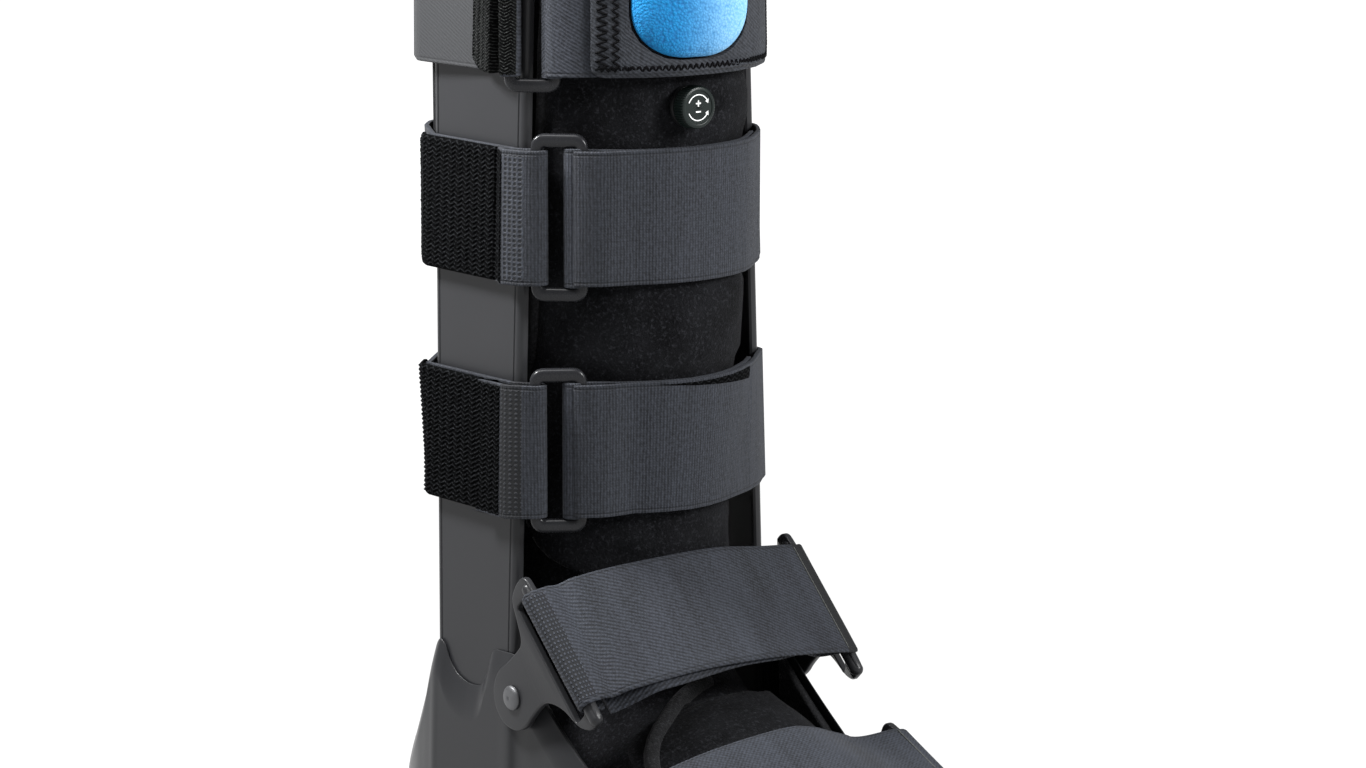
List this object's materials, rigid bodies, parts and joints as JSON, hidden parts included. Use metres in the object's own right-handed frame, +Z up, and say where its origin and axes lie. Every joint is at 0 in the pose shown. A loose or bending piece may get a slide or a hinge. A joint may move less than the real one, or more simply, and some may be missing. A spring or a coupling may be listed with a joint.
{
  "type": "air walker boot",
  "caption": "Tall rigid-sided orthopaedic walking boot with a soft open-toe liner, ringed calf straps, bracketed foot straps, an air pump bulb and a valve dial.",
  "frame": {"origin": "on the ground in the flat middle of the rocker sole, below the axis of the leg", "axes": "+Z up, -Y towards the toe, -X towards the wearer's right side, which is the near side in the picture"},
  "size_m": [0.142, 0.291, 0.43],
  "materials": {
    "shell_plastic": "satin grey moulded plastic",
    "sole_rubber": "matte black rubber",
    "liner_pile": "near-black loop pile",
    "webbing": "dark blue-grey woven webbing",
    "hook_tape": "black hook tape",
    "ring_plastic": "dark grey moulded plastic",
    "rivet_metal": "dull grey rivet",
    "panel_fabric": "dark grey padded fabric",
    "pump_blue": "bright blue nubby fabric",
    "dial_plastic": "dark green-black plastic"
  },
  "bodies": {
    "boot": {"calf_ring_low": "ring_plastic", "calf_ring_mid": "ring_plastic", "calf_ring_top": "ring_plastic", "calf_strap_low": "webbing", "calf_strap_mid": "webbing", "calf_strap_top": "webbing", "calf_tab_low": "hook_tape", "calf_tab_mid": "hook_tape", "calf_tab_top": "hook_tape", "foot_bracket_left": "shell_plastic", "foot_bracket_right": "shell_plastic", "foot_rivet_left": "rivet_metal", "foot_rivet_right": "rivet_metal", "foot_shell": "shell_plastic", "foot_strap": "webbing", "instep_bracket_left": "shell_plastic", "instep_bracket_right": "shell_plastic", "instep_rivet_left": "rivet_metal", "instep_rivet_right": "rivet_metal", "instep_strap": "webbing", "liner": "liner_pile", "liner_foot_flap": "liner_pile", "liner_front_flap": "liner_pile", "outsole": "sole_rubber", "pump_bulb": "pump_blue", "pump_panel": "panel_fabric", "shell_pad_left": "liner_pile", "shell_pad_right": "liner_pile", "upright_left": "shell_plastic", "upright_right": "shell_plastic", "valve_base": "dial_plastic"},
    "dial": {"valve_dial": "dial_plastic"}
  },
  "joints": [
    {"name": "dial_turn", "type": "hinge", "parent": "boot", "child": "dial", "pos_m": [-0.0043, -0.061, 0.323], "axis": [0, -1, 0], "range_deg": [-90, 90]}
  ]
}
